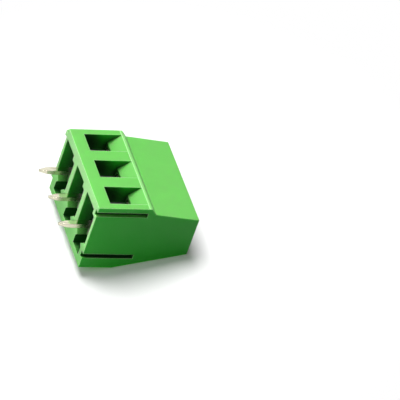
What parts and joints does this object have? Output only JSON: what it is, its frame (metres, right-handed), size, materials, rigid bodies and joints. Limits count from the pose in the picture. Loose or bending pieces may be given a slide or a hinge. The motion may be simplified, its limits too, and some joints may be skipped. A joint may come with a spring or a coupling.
{
  "type": "pcb screw terminal",
  "caption": "Board-mounted screw terminal: stepped housing with ramped wire mouths, driver bores, rising cage clamps, dovetail ribs and grooves, and solder pins.",
  "frame": {"origin": "axis of the middle solder pin where it crosses the board's surface", "axes": "+Z away from the board towards the screw heads, -Y out of the wire mouths, +X along the row of poles towards the end with the grooves"},
  "size_m": [0.0158, 0.0103, 0.0179],
  "materials": {
    "green_plastic": "satin moulded polyamide, green",
    "tinned_brass": "tin-plated stamped strip",
    "plated_steel": "zinc-plated steel cage",
    "zinc_screw": "bright zinc-plated slotted screw"
  },
  "bodies": {
    "terminal": {"housing": "green_plastic", "contact_1": "tinned_brass", "contact_2": "tinned_brass", "contact_3": "tinned_brass"},
    "cage_1": {"clamp_cage_1": "plated_steel"},
    "screw_1": {"clamp_screw_1": "zinc_screw"},
    "cage_2": {"clamp_cage_2": "plated_steel"},
    "screw_2": {"clamp_screw_2": "zinc_screw"},
    "cage_3": {"clamp_cage_3": "plated_steel"},
    "screw_3": {"clamp_screw_3": "zinc_screw"}
  },
  "joints": [
    {"name": "screw_turn_1", "type": "hinge", "parent": "terminal", "child": "screw_1", "pos_m": [-0.00508, -0.0004, 0.01105], "axis": [0, 0, 1], "range_deg": [-1920.5, 0]},
    {"name": "cage_lift_1", "type": "slide", "parent": "terminal", "child": "cage_1", "axis": [0, 0, 1], "range_m": [0, 0.0024]},
    {"name": "screw_turn_2", "type": "hinge", "parent": "terminal", "child": "screw_2", "pos_m": [0, -0.0004, 0.01105], "axis": [0, 0, 1], "range_deg": [-1920.5, 0]},
    {"name": "cage_lift_2", "type": "slide", "parent": "terminal", "child": "cage_2", "axis": [0, 0, 1], "range_m": [0, 0.0024]},
    {"name": "screw_turn_3", "type": "hinge", "parent": "terminal", "child": "screw_3", "pos_m": [0.00508, -0.0004, 0.01105], "axis": [0, 0, 1], "range_deg": [-1920.5, 0]},
    {"name": "cage_lift_3", "type": "slide", "parent": "terminal", "child": "cage_3", "axis": [0, 0, 1], "range_m": [0, 0.0024]}
  ],
  "couplings": [
    {"joint": "screw_turn_1", "follows": "cage_lift_1", "rad_per_m": -13963},
    {"joint": "screw_turn_2", "follows": "cage_lift_2", "rad_per_m": -13963},
    {"joint": "screw_turn_3", "follows": "cage_lift_3", "rad_per_m": -13963}
  ]
}
